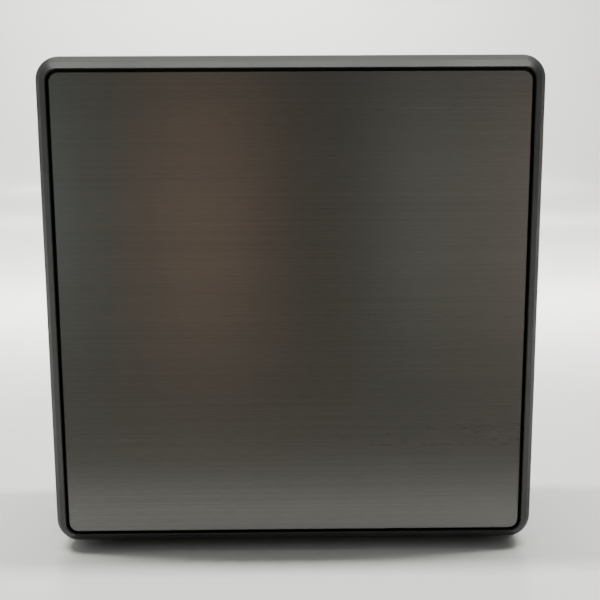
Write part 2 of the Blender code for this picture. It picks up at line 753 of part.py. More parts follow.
def drive_ribbon():
    """The flat cable from the drive's connector, out towards the wall and down to the board."""
    middle = smooth_path([(-0.0470, 0.0377, 0), (-0.0530, 0.0374, 0), (-0.0568, 0.0345, 0),
                          (-0.0574, 0.0300, 0), (-0.0560, 0.0262, 0), (-0.0520, 0.0246, 0),
                          (-0.0485, 0.0243, 0)], 3)
    edges = [], []
    for i, place in enumerate(middle):
        along = (middle[min(i + 1, len(middle) - 1)] - middle[max(i - 1, 0)]).normalized()
        across = Vector((-along.y, along.x, 0)) * RIBBON_THICK / 2
        edges[0].append(place + across)
        edges[1].append(place - across)
    curve = bpy.data.curves.new("ribbon", "CURVE")
    curve.dimensions = "2D"
    curve.fill_mode = "BOTH"
    curve.extrude = (RIBBON_X[1] - RIBBON_X[0]) / 2
    outline = edges[0] + edges[1][::-1]
    spline = curve.splines.new("POLY")
    spline.points.add(len(outline) - 1)
    for point, place in zip(spline.points, outline):
        point.co = (*place, 1)
    spline.use_cyclic_u = True
    upright = Matrix(((0, 0, 1, 0), (1, 0, 0, 0), (0, 1, 0, 0), (0, 0, 0, 1)))
    return mesh_of_curve(curve, Matrix.Translation((sum(RIBBON_X) / 2, 0, 0)) @ upright)


def mesh_of_curve(curve, move):
    """A curve's evaluated mesh with its caps welded on."""
    guide = bpy.data.objects.new("guide", curve)
    bpy.context.scene.collection.objects.link(guide)
    graph = bpy.context.evaluated_depsgraph_get()
    mesh = bpy.data.meshes.new_from_object(guide.evaluated_get(graph))
    bpy.data.objects.remove(guide)
    bm = bmesh.new()
    bm.from_mesh(mesh)
    bmesh.ops.remove_doubles(bm, verts=bm.verts, dist=1e-6)
    bm.normal_update()
    bmesh.ops.recalc_face_normals(bm, faces=bm.faces)
    bm.transform(move)
    bm.to_mesh(mesh)
    bm.free()
    return mesh


def smooth_path(points, per_span=3):
    """Points along a Catmull-Rom curve through the given ones."""
    knots = [Vector(p) for p in points]
    knots = [2 * knots[0] - knots[1], *knots, 2 * knots[-1] - knots[-2]]
    path = []
    for a, b, c, d in zip(knots, knots[1:], knots[2:], knots[3:]):
        for i in range(per_span):
            t = i / per_span
            path.append(0.5 * ((2 * b) + (c - a) * t + (2 * a - 5 * b + 4 * c - d) * t * t
                               + (3 * b - a - 3 * c + d) * t ** 3))
    return path + [knots[-2]]


def cable(points):
    """A thin round cable along a smooth curve through the points."""
    curve = bpy.data.curves.new("cable", "CURVE")
    curve.dimensions = "3D"
    curve.bevel_depth = CABLE_RADIUS
    curve.bevel_resolution = 2
    curve.use_fill_caps = True
    path = smooth_path(points)
    spline = curve.splines.new("POLY")
    spline.points.add(len(path) - 1)
    for point, place in zip(spline.points, path):
        point.co = (*place, 1)
    return mesh_of_curve(curve, Matrix.Identity(4))


def antenna(sign):
    """A flat aerial stuck inside a side wall."""
    y0, y1 = sorted((sign * (INNER - 0.0011), sign * (INNER - GAP)))
    return solid(box((ANTENNA_X[0], y0, 0.028), (ANTENNA_X[1], y1, 0.037)))


# ---------------------------------------------------------------- cooler

def cpu_package():
    """The processor under the board: its substrate and the die."""
    half, bottom = 0.0135, 0.0203
    return solid(box((-half, -half, bottom), (half, half, BOARD_BOTTOM - GAP)),
                 join=[box((-0.0060, -0.0090, bottom - 0.0007), (0.0060, 0.0090, bottom + GAP))])


def cold_plate():
    half, top = 0.020, 0.0193
    return solid(rounded_box((-half, -half, SINK_TOP + GAP), (half, half, top), 0.001, Z, 2))


def heat_sink():
    """A base plate with a row of fins below it, which run between the two vented walls."""
    count = int(2 * SINK_X / FIN_PITCH) + 1
    first = -FIN_PITCH * (count - 1) / 2
    fins = []
    for i in range(count):
        x = first + FIN_PITCH * i
        fins.append(box((x - FIN_THICK / 2, -SINK_Y, SINK_BOTTOM),
                        (x + FIN_THICK / 2, SINK_Y, SINK_BASE + JOINT)))
    wide, long = FIN_THICK - first, SINK_Y + 0.0002
    return solid(box((-wide, -long, SINK_BASE), (wide, long, SINK_TOP)), join=[together(*fins)])


def fan_frame():
    """A square fan's frame: its bore, the motor's seat and the four arms that carry it."""
    arm_low, high, screw_at = FAN_TOP - 0.0012, FAN_TOP - FAN_BOTTOM + 2 * CUT, 0.0312
    arms = [turned(box((0.0090, -0.0014, arm_low), (FAN_BORE + 0.0012, 0.0014, FAN_TOP)),
                   math.radians(ARM_ANGLE + 90 * i)) for i in range(4)]
    return solid(
        rounded_box((-FAN_HALF, -FAN_HALF, FAN_BOTTOM), (FAN_HALF, FAN_HALF, FAN_TOP), 0.003),
        cut=[rod((0, 0, FAN_BOTTOM - CUT), FAN_BORE, high, segments=40),
             four(lambda sx, sy: rod((sx * screw_at, sy * screw_at, FAN_BOTTOM - CUT), 0.0014, high,
                                     segments=10))],
        insert=[*arms, rod((0, 0, arm_low), HUB_RADIUS, FAN_TOP - arm_low, segments=24)],
    )


def fan_rotor():
    """The fan's hub and its pitched blades, about the origin."""
    hub_half, chord_half, thick_half = 0.0024, 0.0048, 0.0004
    blades = []
    for i in range(BLADE_COUNT):
        blade = box((HUB_RADIUS - 0.0015, -chord_half, -thick_half),
                    (ROTOR_RADIUS - 0.0008, chord_half, thick_half))
        turned(blade, math.radians(BLADE_PITCH), "X")
        blades.append(turned(blade, 2 * math.pi * i / BLADE_COUNT))
    return solid(rod((0, 0, -hub_half), HUB_RADIUS, 2 * hub_half, segments=28),
                 join=[together(*blades)])


# ---------------------------------------------------------------- assembly

def finishes():
    return {
        "case_plastic": material("case_plastic", (0.035, 0.036, 0.037), 0.45),
        "lid_metal": material("lid_metal", (0.115, 0.112, 0.110), 0.35, 1.0),
        "inner_plastic": material("inner_plastic", (0.020, 0.020, 0.020), 0.6),
        "rubber": material("rubber", (0.025, 0.025, 0.025), 0.85),
        "board": material("board", (0.010, 0.022, 0.030), 0.5),
        "steel": material("steel", (0.55, 0.55, 0.56), 0.3, 1.0),
        "dark_screw": material("dark_screw", (0.06, 0.06, 0.06), 0.4, 1.0),
        "aluminium": material("aluminium", (0.70, 0.71, 0.72), 0.4, 1.0),
        "copper": material("copper", (0.72, 0.40, 0.25), 0.35, 1.0),
        "light": material("light", (0.85, 0.88, 0.90), 0.2),
        "chip": material("chip", (0.030, 0.030, 0.032), 0.5),
    }


def add_case(stance, look):
    plastic, dark = look["case_plastic"], look["inner_plastic"]
    add(stance, "housing", housing(), plastic)
    add(stance, "bottom_cover", bottom_cover(), plastic)
    add(stance, "front_panel", front_panel(), plastic)
    add(stance, "rear_panel", rear_panel(), plastic)
    foot, screw, grommet = rubber_foot(), cover_screw(), lid_grommet()
    corners = [(sx, sy) for sx in (1, -1) for sy in (1, -1)]
    for i, (sx, sy) in enumerate(corners, 1):
        x, y = sx * PEG_X, sy * PEG_Y
        add(stance, f"rubber_foot_{i}", foot, look["rubber"], (sx * FOOT_AT, sy * FOOT_AT, 0))
        add(stance, f"cover_screw_{i}", screw, look["dark_screw"], (x, y, BODY_BOTTOM + 0.0002))
        add(stance, f"lid_grommet_{i}", grommet, look["rubber"], (x, y, GROMMET_BOTTOM))
    strip = side_strip()
    for i, sx in enumerate((1, -1), 1):
        add(stance, f"side_strip_{i}", strip, look["rubber"], (sx * sum(STRIP_X) / 2, 0, 0))
    add(stance, "lid_plate", lid_plate(), look["lid_metal"])
    add(stance, "lid_tray", lid_tray(), dark)


def add_front(stance, look):
    plastic, dark, steel = look["case_plastic"], look["inner_plastic"], look["steel"]
    usb = usb_a_socket()
    for i, y in enumerate(FRONT_USB_Y, 1):
        add(stance, f"front_usb_{i}", usb, steel, (SOCKET_FACE, y, ON_BOARD))
    add(stance, "front_usb_c", usb_c_socket(), steel, (SOCKET_FACE, USB_C_Y, ON_BOARD))
    add(stance, "audio_jack", audio_socket(), dark, (SOCKET_FACE, AUDIO_Y, ON_BOARD))
    button_at, reset_at = (BUTTON_FACE, POWER_Y, POWER_Z), (RESET_FACE, RESET_Y, RESET_Z)
    add(stance, "power_button", power_button(), plastic, button_at)
    add(stance, "power_switch", power_switch(), dark, button_at)
    add(stance, "light_pipe", light_pipe(), look["light"], (BUTTON_FACE, LIGHT_Y, POWER_Z))
    add(stance, "reset_button", reset_button(), dark, reset_at)
    add(stance, "reset_switch", reset_switch(), steel, reset_at)
    return usb


def add_rear(stance, look, usb):
    steel = look["steel"]
    sockets = [("hdmi_port", hdmi_socket(), steel, HDMI_Y),
               ("display_port", display_socket(), steel, DISPLAY_Y),
               ("ethernet_port", ethernet_socket(), steel, ETHERNET_Y),
               ("dc_jack", dc_socket(), look["inner_plastic"], DC_Y)]
    sockets += [(f"rear_usb_{i}", usb, steel, y) for i, y in enumerate(REAR_USB_Y, 1)]
    for name, mesh, finish, y in sockets:
        add(stance, name, mesh, finish, (-SOCKET_FACE, y, ON_BOARD), math.pi)


def add_board(stance, look):
    chip, steel, dark = look["chip"], look["steel"], look["inner_plastic"]
    add(stance, "motherboard", motherboard(), look["board"])
    screw = board_screw()
    corners = [(sx, sy) for sx in (1, -1) for sy in (1, -1)]
    screw_z = BOARD_BOTTOM - GAP - PAN_HEAD
    for i, (sx, sy) in enumerate(corners, 1):
        add(stance, f"board_screw_{i}", screw, steel, (sx * LUG_X, sy * LUG_Y, screw_z))
    add(stance, "ram_socket", ram_socket(), dark)
    module = ram_module()
    for name, level in zip(("ram_module_lower", "ram_module_upper"), RAM_LEVELS):
        add(stance, name, module, chip, (RAM_X, 0, level))
    add(stance, "ssd_socket", card_socket(SSD_Y[0], 0.0302, SSD_LEVEL), dark)
    add(stance, "ssd_card", ssd_card(), chip)
    add(stance, "wifi_socket", card_socket(WIFI_Y[0], 0.0266, WIFI_LEVEL), dark)
    add(stance, "wifi_card", wifi_card(), chip)
    add(stance, "coin_cell", coin_cell(), steel, (*COIN_AT, ON_BOARD))
    add(stance, "drive_bracket", drive_bracket(), steel)
    add(stance, "sata_drive", sata_drive(), look["aluminium"])
    add(stance, "drive_ribbon", drive_ribbon(), dark)
    add(stance, "antenna_top", antenna(1), look["copper"])
    add(stance, "antenna_bottom", antenna(-1), look["copper"])
    add(stance, "antenna_cable_top", cable([
        (0.0259, 0.0140, 0.0256), (0.0272, 0.0180, 0.0252), (0.0278, 0.0260, 0.0246),
        (0.0270, 0.0380, 0.0246), (0.0205, 0.0455, 0.0246), (0.0164, 0.0500, 0.0250),
        (0.0160, 0.0555, 0.0262), (0.0162, 0.0585, 0.0290), (0.0165, 0.0600, 0.0315)]), dark)
    add(stance, "antenna_cable_bottom", cable([
        (0.0021, 0.0080, 0.0256), (0.0008, 0.0030, 0.0250), (0.0000, -0.0060, 0.0246),
        (0.0000, -0.0240, 0.0246), (0.0000, -0.0400, 0.0246), (0.0020, -0.0480, 0.0250),
        (0.0070, -0.0545, 0.0262), (0.0105, -0.0585, 0.0290), (0.0115, -0.0600, 0.0315)]), dark)


def add_cooler(stance, look):
    add(stance, "cpu_package", cpu_package(), look["chip"])
    add(stance, "cold_plate", cold_plate(), look["copper"])
    add(stance, "heat_sink", heat_sink(), look["aluminium"])
    add(stance, "fan_frame", fan_frame(), look["inner_plastic"])
    add(stance, "fan_rotor", fan_rotor(), look["inner_plastic"], (0, 0, ROTOR_LEVEL))


def main():
    stance = start()
    look = finishes()
    add_case(stance, look)
    usb = add_front(stance, look)
    add_rear(stance, look, usb)
    add_board(stance, look)
    add_cooler(stance, look)


main()
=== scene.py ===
"""The looks of a small square desktop computer that stands on its edge, lid plate to the front.

World axes: -Y out of the lid plate, +X out of the front panel, -X out of the rear panel, +Y out
of the bottom cover, +Z up. Sizes are in metres.
"""

import math
import random
from collections import Counter

import bmesh
import bpy
from mathutils import Matrix, Vector

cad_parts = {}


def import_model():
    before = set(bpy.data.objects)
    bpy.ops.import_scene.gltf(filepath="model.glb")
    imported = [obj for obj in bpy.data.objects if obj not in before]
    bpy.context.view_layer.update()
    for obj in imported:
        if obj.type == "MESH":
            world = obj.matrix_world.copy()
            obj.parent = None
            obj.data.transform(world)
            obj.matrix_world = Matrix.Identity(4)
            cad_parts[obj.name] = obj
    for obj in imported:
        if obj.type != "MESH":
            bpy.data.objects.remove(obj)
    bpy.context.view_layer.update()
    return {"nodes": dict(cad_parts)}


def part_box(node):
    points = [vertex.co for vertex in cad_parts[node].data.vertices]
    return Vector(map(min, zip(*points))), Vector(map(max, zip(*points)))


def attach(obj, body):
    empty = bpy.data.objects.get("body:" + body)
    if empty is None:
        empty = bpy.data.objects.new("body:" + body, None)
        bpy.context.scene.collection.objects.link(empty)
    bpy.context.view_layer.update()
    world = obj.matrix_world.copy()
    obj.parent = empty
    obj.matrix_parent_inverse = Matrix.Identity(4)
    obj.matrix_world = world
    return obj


X, Y, Z = 0, 1, 2
SHARP = math.radians(35)       # edges that turn by more than this stay crisp
FLAT_AREA = 1.0e-4             # a plane of this area and more is shaded flat

# Camera
CAMERA_FROM_PLATE = (-0.0012, -0.2651, 0.0524)
CAMERA_TILT, CAMERA_ROLL, CAMERA_TURN = 79.35, 0.27, -0.72
LENS, SENSOR = 63.0, 36.0

# Colours, as linear light
CHARCOAL = (0.023, 0.025, 0.024)
LID_GREY = (0.122, 0.122, 0.120)
CUT_EDGE = (0.230, 0.224, 0.216)
BLACK = (0.010, 0.010, 0.010)
STEEL = (0.56, 0.56, 0.57)
GOLD = (0.83, 0.62, 0.28)
BOARD_GREEN = (0.008, 0.030, 0.034)
PALE = (0.80, 0.80, 0.79)
TABLE = (0.205, 0.188, 0.168)
TABLE_EDGE, TABLE_LEVEL = -0.30, -0.003
WORLD, WORLD_STRENGTH = (0.97, 1.0, 0.96), 0.17

# Places on the object
SOCKET_MIDDLE, AUDIO_MIDDLE = 0.0055, 0.0028      # height of the round sockets over the board side
USB_SPRINGS = 0.0034
WIRE_PITCH = 0.00102
MESH_CELL, MESH_WIRE = 0.0014, 0.00028
VENT_WALL, VENT_HALF, VENT_FRONT, VENT_BACK = 0.0024, 0.0464, 0.0180, 0.0036
CHIP_X, CHIPS_UP = 0.0415, (-0.014, 0.006, 0.034)
CHOKES_UP = (0.0155, 0.0235)
CAPACITORS = ((-0.0445, -0.050), (-0.0445, 0.0015), (-0.0445, 0.020))

# Tall dim panels in front that the lid plate reflects: x, width, power and colour of each
PANEL_Y, PANEL_Z, PANEL_HIGH = -1.2, -0.45, 1.2
PANELS = ((-0.38, 0.12, 0.78, (0.80, 1.00, 0.93)),
          (-0.12, 0.16, 0.85, (1.00, 0.67, 0.45)),
          (0.19, 0.12, 0.50, (0.97, 0.98, 0.84)),
          (0.38, 0.14, 1.00, (1.00, 0.80, 0.68)))
PAPER_WHITE = (1.0, 0.995, 0.94)


# ---------------------------------------------------------------- materials

def new_material(name, colour, roughness, metallic=0.0):
    """A Principled material and its nodes; returns (material, tree, shader, position)."""
    made = bpy.data.materials.new(name)
    made.use_nodes = True
    tree = made.node_tree
    shader = tree.nodes["Principled BSDF"]
    shader.inputs["Base Color"].default_value = (*colour, 1)
    shader.inputs["Roughness"].default_value = roughness
    shader.inputs["Metallic"].default_value = metallic
    place = tree.nodes.new("ShaderNodeTexCoord").outputs["Object"]
    return made, tree, shader, place


def noise(tree, place, scale, detail=3.0, stretch=(1, 1, 1), roughness=0.5):
    """A noise's value, from points stretched along the axes."""
    mapping = tree.nodes.new("ShaderNodeMapping")
    mapping.inputs["Scale"].default_value = stretch
    tree.links.new(place, mapping.inputs["Vector"])
    texture = tree.nodes.new("ShaderNodeTexNoise")
    texture.inputs["Scale"].default_value = scale
    texture.inputs["Detail"].default_value = detail
    texture.inputs["Roughness"].default_value = roughness
    tree.links.new(mapping.outputs[0], texture.inputs["Vector"])
    return texture.outputs["Fac"]


def ranged(tree, value, low, high, start=0.3, end=0.7):
    """The value, carried from start..end to low..high."""
    node = tree.nodes.new("ShaderNodeMapRange")
    for name, number in (("From Min", start), ("From Max", end), ("To Min", low), ("To Max", high)):
        node.inputs[name].default_value = number
    tree.links.new(value, node.inputs["Value"])
    return node.outputs[0]


def math_node(tree, operation, a, b=0.0):
    node = tree.nodes.new("ShaderNodeMath")
    node.operation = operation
    for socket, value in zip(node.inputs, (a, b)):
        if isinstance(value, (int, float)):
            socket.default_value = value
        else:
            tree.links.new(value, socket)
    return node.outputs[0]


def mixed(tree, factor, first, second):
    """Two colours, or a colour output and a colour, mixed by a factor."""
    node = tree.nodes.new("ShaderNodeMix")
    node.data_type = "RGBA"
    tree.links.new(factor, node.inputs["Factor"])
    for name, value in (("A", first), ("B", second)):
        socket = [s for s in node.inputs if s.name == name and s.type == "RGBA"][0]
        if isinstance(value, tuple):
            socket.default_value = (*value, 1)
        else:
            tree.links.new(value, socket)
    return [s for s in node.outputs if s.type == "RGBA"][0]


def bump(tree, shader, height, distance, strength=1.0):
    node = tree.nodes.new("ShaderNodeBump")
    node.inputs["Distance"].default_value = distance
    node.inputs["Strength"].default_value = strength
    tree.links.new(height, node.inputs["Height"])
    tree.links.new(node.outputs[0], shader.inputs["Normal"])


def shade(colour, factor):
    return tuple(min(1.0, c * factor) for c in colour)


def edge_wear(tree):
    """1 along sharp edges and 0 elsewhere."""
    rounded = tree.nodes.new("ShaderNodeBevel")
    rounded.samples = 4
    rounded.inputs["Radius"].default_value = 0.00025
    geometry = tree.nodes.new("ShaderNodeNewGeometry")
    turn = tree.nodes.new("ShaderNodeVectorMath")
    turn.operation = "DOT_PRODUCT"
    tree.links.new(rounded.outputs[0], turn.inputs[0])
    tree.links.new(geometry.outputs["Normal"], turn.inputs[1])
    return ranged(tree, turn.outputs["Value"], 1, 0, 0.85, 0.99)


def moulded(name, colour, roughness, grain=9000, depth=0.00002, specular=0.5):
    """Moulded plastic: a fine even grain, cloudy gloss and slightly worn edges."""
    made, tree, shader, place = new_material(name, colour, roughness)
    shader.inputs["Specular IOR Level"].default_value = specular
    cloud = noise(tree, place, 45, 4)
    speck = noise(tree, place, grain, 2)
    tint = mixed(tree, ranged(tree, cloud, 0, 1), shade(colour, 0.86), shade(colour, 1.16))
    tree.links.new(mixed(tree, edge_wear(tree), tint, shade(colour, 1.5)), shader.inputs["Base Color"])
    gloss = math_node(tree, "ADD", ranged(tree, cloud, roughness - 0.05, roughness + 0.05),
                      ranged(tree, speck, -0.04, 0.04))
    tree.links.new(gloss, shader.inputs["Roughness"])
    bump(tree, shader, speck, depth, 0.6)
    return made


def sheet_metal(name, colour, roughness, stretch=(1, 1, 12)):
    """Rolled or stamped metal with a faint grain along one way and smudges."""
    made, tree, shader, place = new_material(name, colour, roughness, 1.0)
    grain = noise(tree, place, 900, 3, stretch)
    smudge = noise(tree, place, 120, 4)
    tree.links.new(mixed(tree, ranged(tree, grain, 0, 1), shade(colour, 0.82), shade(colour, 1.12)),
                   shader.inputs["Base Color"])
    gloss = math_node(tree, "ADD", ranged(tree, smudge, roughness - 0.07, roughness + 0.10),
                      ranged(tree, grain, -0.04, 0.04))
    tree.links.new(gloss, shader.inputs["Roughness"])
    bump(tree, shader, grain, 0.000008, 0.5)
    return made


def brushed_lid():
    """Dark grey metal brushed across the plate, with brighter cut edges."""
    made, tree, shader, place = new_material("lid_brushed", LID_GREY, 0.42, 1.0)
    fine = noise(tree, place, 1.0, 2, (260, 260, 3200))
    medium = noise(tree, place, 1.0, 1, (14, 14, 2300))
    broad = noise(tree, place, 1.0, 2, (5, 5, 220), 0.5)
    streaks = math_node(tree, "ADD", math_node(tree, "MULTIPLY", fine, 0.55),
                        math_node(tree, "MULTIPLY", medium, 0.45))
    cloud = noise(tree, place, 30, 3)
    tint = mixed(tree, ranged(tree, streaks, 0, 1, 0.35, 0.65), shade(LID_GREY, 0.91),
                 shade(LID_GREY, 1.09))
    worn = mixed(tree, ranged(tree, cloud, 0, 0.3), tint, shade(LID_GREY, 1.10))
    normal = tree.nodes.new("ShaderNodeTexCoord").outputs["Normal"]
    split = tree.nodes.new("ShaderNodeSeparateXYZ")
    tree.links.new(normal, split.inputs[0])
    facing = math_node(tree, "ABSOLUTE", split.outputs["Y"])
    cut = ranged(tree, facing, 1, 0, 0.75, 0.97)
    tree.links.new(mixed(tree, cut, worn, CUT_EDGE), shader.inputs["Base Color"])
    gloss = math_node(tree, "ADD", ranged(tree, streaks, 0.28, 0.30, 0.35, 0.65),
                      ranged(tree, broad, -0.01, 0.01))
    tree.links.new(gloss, shader.inputs["Roughness"])
    shader.inputs["Anisotropic"].default_value = 0.65
    tangent = tree.nodes.new("ShaderNodeTangent")
    tangent.direction_type = "RADIAL"
    tangent.axis = "X"
    tree.links.new(tangent.outputs[0], shader.inputs["Tangent"])
    bump(tree, shader, streaks, 0.000004, 0.4)
    return made


def glow(name, colour, strength):
    """A lamp seen through a clear pipe."""
    made, tree, shader, place = new_material(name, colour, 0.15)
    cloud = noise(tree, place, 2500, 2)
    tree.links.new(mixed(tree, ranged(tree, cloud, 0, 1), shade(colour, 0.9), colour),
                   shader.inputs["Base Color"])
    shader.inputs["Emission Color"].default_value = (*colour, 1)
    shader.inputs["Emission Strength"].default_value = strength
    return made


def circuit_board(name, colour):
    """Lacquered laminate with the faint pattern of the tracks below the lacquer."""
    made, tree, shader, place = new_material(name, colour, 0.4)
    bricks = tree.nodes.new("ShaderNodeTexBrick")
    bricks.inputs["Scale"].default_value = 420
    bricks.inputs["Mortar Size"].default_value = 0.03
    bricks.inputs["Color1"].default_value = (*shade(colour, 0.8), 1)
    bricks.inputs["Color2"].default_value = (*shade(colour, 1.3), 1)
    bricks.inputs["Mortar"].default_value = (*shade(colour, 2.6), 1)
    turn = tree.nodes.new("ShaderNodeMapping")
    turn.inputs["Rotation"].default_value = (math.radians(90), 0, 0)
    tree.links.new(place, turn.inputs["Vector"])
    tree.links.new(turn.outputs[0], bricks.inputs["Vector"])
    cloud = noise(tree, place, 300, 3)
    tree.links.new(mixed(tree, ranged(tree, cloud, 0, 0.6), bricks.outputs["Color"], colour),
                   shader.inputs["Base Color"])
    tree.links.new(ranged(tree, cloud, 0.32, 0.5), shader.inputs["Roughness"])
    bump(tree, shader, bricks.outputs["Fac"], 0.00002, 0.5)
    return made


def make_materials():
    return {
        "case": moulded("case_plastic", CHARCOAL, 0.50, 6000, 0.000025, specular=0.21),
        "inner": moulded("inner_plastic", BLACK, 0.55),
        "button": moulded("button_plastic", shade(CHARCOAL, 0.8), 0.32, 9000, 0.000012),
        "rubber": moulded("rubber", (0.018, 0.018, 0.018), 0.82, 5000, 0.00004),
        "lid": brushed_lid(),
        "steel": sheet_metal("steel", STEEL, 0.28),
        "aluminium": sheet_metal("aluminium", (0.72, 0.73, 0.74), 0.38),
        "copper": sheet_metal("copper", (0.78, 0.43, 0.28), 0.32),
        "gold": sheet_metal("gold_contact", GOLD, 0.25),
        "screw": sheet_metal("black_screw", (0.05, 0.05, 0.052), 0.36),
        "board": circuit_board("board", BOARD_GREEN),
        "card": circuit_board("card", (0.006, 0.020, 0.012)),
        "chip": moulded("chip", (0.022, 0.022, 0.024), 0.5, 12000, 0.00001),
        "lamp": glow("lamp", (0.85, 0.92, 1.0), 0.15),
        "label": moulded("label", (0.32, 0.32, 0.31), 0.6, 8000, 0.000006),
        "tongue": moulded("tongue_blue", (0.012, 0.070, 0.260), 0.4, 9000, 0.00001),
        "amber": glow("amber_lamp", (0.80, 0.38, 0.05), 0.05),
        "green": glow("green_lamp", (0.10, 0.55, 0.12), 0.05),
        "mark": moulded("power_mark", (0.42, 0.43, 0.43), 0.35, 9000, 0.00001),
        "choke": moulded("choke", (0.060, 0.060, 0.062), 0.45, 5000, 0.00003),
        "ceramic": moulded("ceramic", (0.30, 0.21, 0.13), 0.35, 9000, 0.00001),
        "mesh": moulded("vent_mesh", (0.012, 0.012, 0.012), 0.6),
    }


FINISH = {
    "case": ("housing", "bottom_cover", "front_panel", "rear_panel"),
    "button": ("power_button", "reset_button"),
    "inner": ("lid_tray", "audio_jack", "dc_jack", "power_switch", "ram_socket", "ssd_socket",
              "wifi_socket", "drive_ribbon", "antenna_cable_top", "antenna_cable_bottom",
              "fan_frame", "fan_rotor"),
    "rubber": ("side_strip_1", "side_strip_2",
               *(f"{kind}_{i}" for kind in ("rubber_foot", "lid_grommet") for i in range(1, 5))),
    "lid": ("lid_plate",),
    "steel": ("front_usb_1", "front_usb_2", "front_usb_c", "rear_usb_1", "rear_usb_2",
              "hdmi_port", "display_port", "ethernet_port", "reset_switch", "coin_cell",
              "drive_bracket", *(f"board_screw_{i}" for i in range(1, 5))),
    "aluminium": ("heat_sink", "sata_drive"),
    "copper": ("cold_plate", "antenna_top", "antenna_bottom"),
    "screw": tuple(f"cover_screw_{i}" for i in range(1, 5)),
    "board": ("motherboard",),
    "card": ("ssd_card", "wifi_card", "ram_module_lower", "ram_module_upper", "cpu_package"),
    "lamp": ("light_pipe",),
}


def smooth_curves(mesh):
    """Smooth shading on curved faces only, so that wide flat faces stay even."""
    planes = [tuple(round(number, 2) for number in face.normal) + (round(face.center.dot(face.normal), 4),)
              for face in mesh.polygons]
    areas = Counter()
    for plane, face in zip(planes, mesh.polygons):
        areas[plane] += face.area
    mesh.polygons.foreach_set("use_smooth", [areas[plane] < FLAT_AREA for plane in planes])
    mesh.set_sharp_from_angle(angle=SHARP)


def finish_nodes(nodes, look):
    """Every CAD node gets its finish in place of its plain colour."""
    for key, names in FINISH.items():
        for name in names:
            mesh = nodes[name].data
            mesh.materials.clear()
            mesh.materials.append(look[key])
            smooth_curves(mesh)


# ---------------------------------------------------------------- mesh helpers

def block(bm, low, high, soften=0.0, segments=2):
    """Adds a block between two corners, with softened edges."""
    low, high = Vector(low), Vector(high)
    place = Matrix.Translation((low + high) / 2) @ Matrix.Diagonal((*(high - low), 1))
    made = bmesh.ops.create_cube(bm, size=1, matrix=place)
    if soften:
        edges = list({edge for vert in made["verts"] for edge in vert.link_edges})
        bmesh.ops.bevel(bm, geom=edges, offset=soften, segments=segments, profile=0.5, affect="EDGES")


def drum(bm, start, radius, length, axis=X, soften=0.0, segments=32):
    """Adds a cylinder from start towards + of an axis, with softened rims."""
    turn = {X: Matrix.Rotation(math.radians(90), 4, "Y"), Y: Matrix.Rotation(math.radians(-90), 4, "X"),
            Z: Matrix.Identity(4)}[axis]
    place = Matrix.Translation(start) @ turn @ Matrix.Translation((0, 0, length / 2))
    made = bmesh.ops.create_cone(bm, cap_ends=True, segments=segments, radius1=radius, radius2=radius,
                                 depth=length, matrix=place)
    if soften:
        caps = {face for vert in made["verts"] for face in vert.link_faces if len(face.verts) == segments}
        edges = list({edge for face in caps for edge in face.edges})
        bmesh.ops.bevel(bm, geom=edges, offset=soften, segments=2, profile=0.5, affect="EDGES")


def tube(bm, start, outer, inner, length, segments=32):
    """Adds a pipe along +X, with its two ends closed between the walls."""
    rings = []
    for x, radius in ((0, outer), (length, outer), (length, inner), (0, inner)):
        rings.append([bm.verts.new(Vector(start) + Vector((x, radius * math.cos(a), radius * math.sin(a))))
                      for a in (2 * math.pi * i / segments for i in range(segments))])
    for first, second in zip(rings, rings[1:] + rings[:1]):
        for i in range(segments):
            j = (i + 1) % segments
            bm.faces.new((first[i], first[j], second[j], second[i]))


def arc_bar(bm, radius, width, start, end, low, high, steps=40):
    """Adds part of a flat ring in the YZ plane, between two angles and two x values."""
    corners = []
    for i in range(steps + 1):
        angle = start + (end - start) * i / steps
        out = Vector((0, math.sin(angle), math.cos(angle)))
        corners.append([bm.verts.new(Vector((x, 0, 0)) + out * r)
                        for x, r in ((low, radius - width / 2), (low, radius + width / 2),
                                     (high, radius + width / 2), (high, radius - width / 2))])
    for first, second in zip(corners, corners[1:]):
        for i in range(4):
            j = (i + 1) % 4
            bm.faces.new((first[i], first[j], second[j], second[i]))
    bm.faces.new(corners[0][::-1])
    bm.faces.new(corners[-1])


def piece(name, bm, material, body, place=None):
    """Makes a finished object of the shapes, which moves with a body."""
    bmesh.ops.recalc_face_normals(bm, faces=bm.faces)
    if place is not None:
        bm.transform(place)
    mesh = bpy.data.meshes.new(name)
    bm.to_mesh(mesh)
    bm.free()
    mesh.shade_smooth()
    mesh.set_sharp_from_angle(angle=SHARP)
    mesh.materials.append(material)
    made = bpy.data.objects.new(name, mesh)
    bpy.context.scene.collection.objects.link(made)
    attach(made, body)
    return made


# ---------------------------------------------------------------- sockets

def mouth(node, side):
    """A socket's own axes: +X out of its mouth, Y along its width, Z up from the board."""
    low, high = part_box(node)
    out = high.x if side > 0 else low.x
    turn = Matrix(((side, 0, 0), (0, 0, -1), (0, side, 0))).to_4x4()
    return Matrix.Translation((out, high.y, (low.z + high.z) / 2)) @ turn


def tongue(name, node, side, size, low, contacts, look, colour="tongue"):
    """The plastic sleeve of a socket's tongue, and the row of contacts on the side of the gap."""
    depth, wide, thick = size
    sleeve = 0.00012
    bm = bmesh.new()
    block(bm, (-depth, -wide / 2, low - sleeve), (-0.0010, wide / 2, low + thick + sleeve), 0.00018)
    piece(f"{name}_tongue", bm, look[colour], "case", mouth(node, side))
    bm = bmesh.new()
    step = wide * 0.82 / contacts
    half = step * 0.28
    for i in range(contacts):
        y = step * (i - (contacts - 1) / 2)
        block(bm, (-depth * 0.85, y - half, low - 0.00020), (-0.0019, y + half, low - 0.00008),
              0.00003)
    piece(f"{name}_contacts", bm, look["gold"], "case", mouth(node, side))


